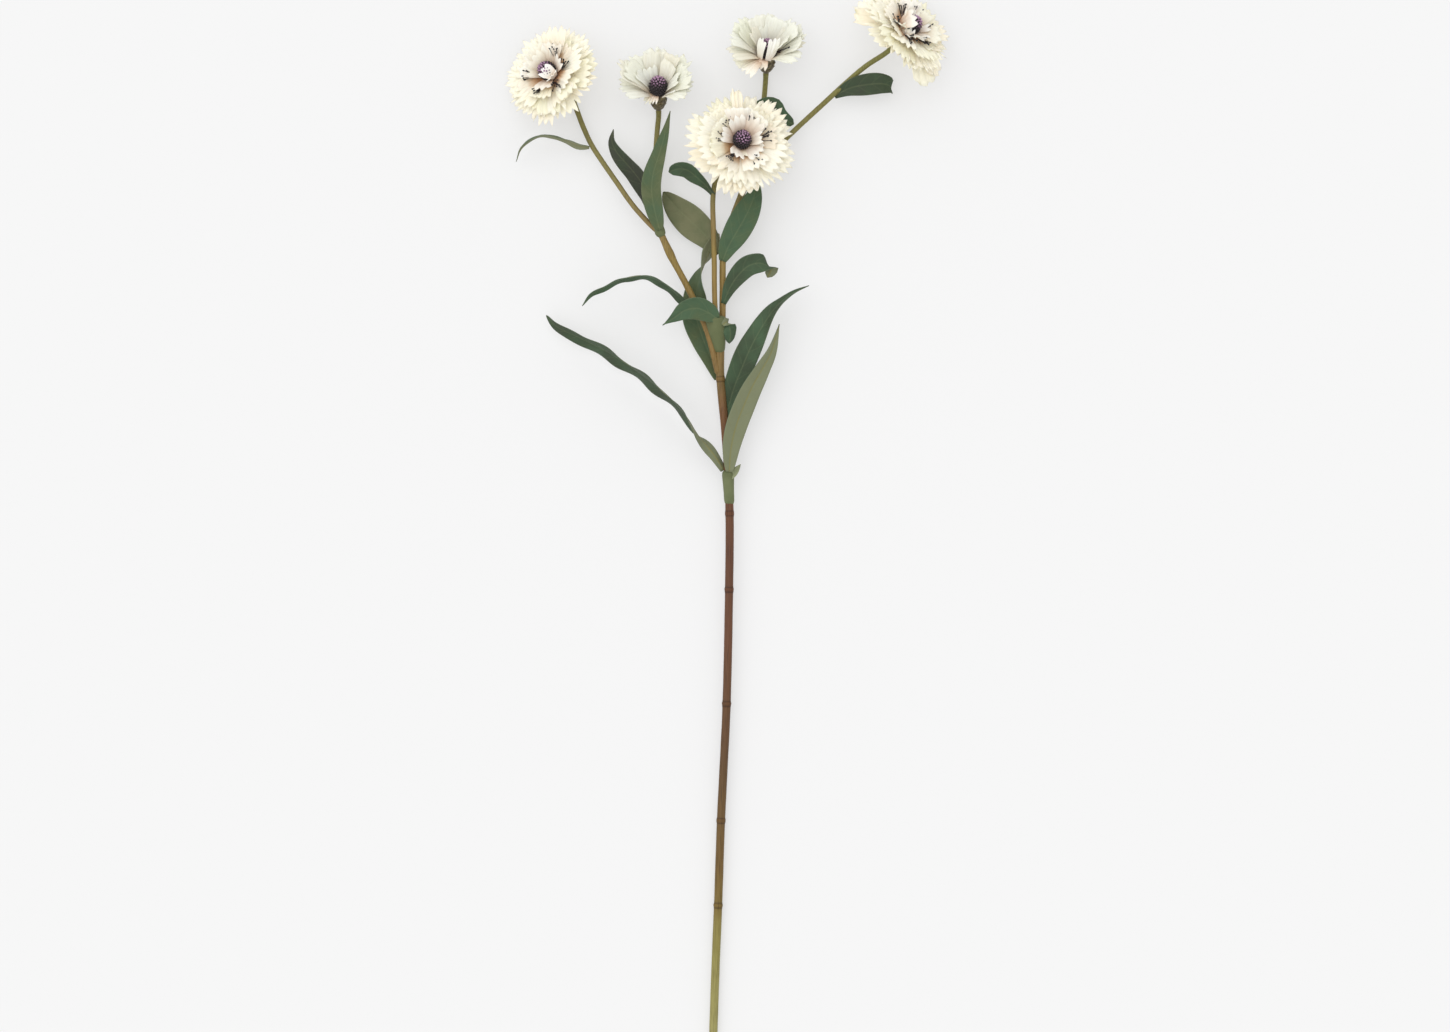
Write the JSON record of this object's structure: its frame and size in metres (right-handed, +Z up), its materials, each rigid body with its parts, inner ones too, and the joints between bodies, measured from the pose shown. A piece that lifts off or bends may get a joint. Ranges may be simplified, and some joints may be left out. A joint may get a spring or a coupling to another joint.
{
  "type": "cut cornflower",
  "caption": "Cut cornflower spray lying flat: a slender jointed stem that forks into cream double blooms with dark purple centres, with long narrow green leaves.",
  "frame": {"origin": "middle of the bounding box's footprint, on the surface that the flower lies on", "axes": "+Y along the stem from its cut end to the blooms, +X to the right seen from above, +Z up from the surface towards the side that the blooms face"},
  "size_m": [0.2988, 0.7156, 0.0536],
  "materials": {
    "stem_plastic": "moulded, satin, brown running to green at both ends",
    "branch_plastic": "moulded, satin, tan to olive",
    "leaf_fabric": "printed woven polyester, matte, paler underneath",
    "sheath_fabric": "printed woven polyester, matte",
    "calyx_plastic": "moulded, matte, brushed with olive",
    "cream_petal_fabric": "thin woven polyester, matte, pleated",
    "white_petal_fabric": "thin woven polyester, matte, mauve towards the middle",
    "stamen_fibre": "dark dyed fibre tufts",
    "button_flock": "flocked dark purple, mauve on top"
  },
  "bodies": {
    "root": {"main_stem": "stem_plastic", "left_branch": "branch_plastic", "right_branch": "branch_plastic", "flower_stem_1": "branch_plastic", "flower_stem_2": "branch_plastic", "flower_stem_3": "branch_plastic", "flower_stem_4": "branch_plastic", "flower_stem_5": "branch_plastic", "lower_sheath": "sheath_fabric", "fork_sheath": "sheath_fabric", "leaf_lower_left": "leaf_fabric", "leaf_lower_right": "leaf_fabric", "leaf_lower_front": "leaf_fabric", "leaf_fork_back": "leaf_fabric", "leaf_fork_front": "leaf_fabric", "leaf_fork_curled": "leaf_fabric", "leaf_left_arch": "leaf_fabric", "leaf_middle_left": "leaf_fabric", "leaf_middle_right": "leaf_fabric", "leaf_right_folded": "leaf_fabric", "leaf_stem_1": "leaf_fabric", "leaf_stem_2_back": "leaf_fabric", "leaf_stem_2_front": "leaf_fabric", "leaf_stem_3": "leaf_fabric", "leaf_stem_4": "leaf_fabric", "leaf_stem_5": "leaf_fabric", "calyx_1": "calyx_plastic", "petals_outer_1": "cream_petal_fabric", "petals_middle_1": "cream_petal_fabric", "stamens_1": "stamen_fibre", "petals_inner_1": "white_petal_fabric", "button_1": "button_flock", "calyx_2": "calyx_plastic", "petals_outer_2": "white_petal_fabric", "petals_inner_2": "white_petal_fabric", "button_2": "button_flock", "calyx_3": "calyx_plastic", "petals_outer_3": "white_petal_fabric", "petals_inner_3": "white_petal_fabric", "button_3": "button_flock", "calyx_4": "calyx_plastic", "petals_outer_4": "cream_petal_fabric", "petals_middle_4": "cream_petal_fabric", "stamens_4": "stamen_fibre", "petals_inner_4": "white_petal_fabric", "button_4": "button_flock", "calyx_5": "calyx_plastic", "petals_outer_5": "cream_petal_fabric", "petals_middle_5": "cream_petal_fabric", "stamens_5": "stamen_fibre", "petals_inner_5": "white_petal_fabric", "button_5": "button_flock"}
  },
  "joints": []
}
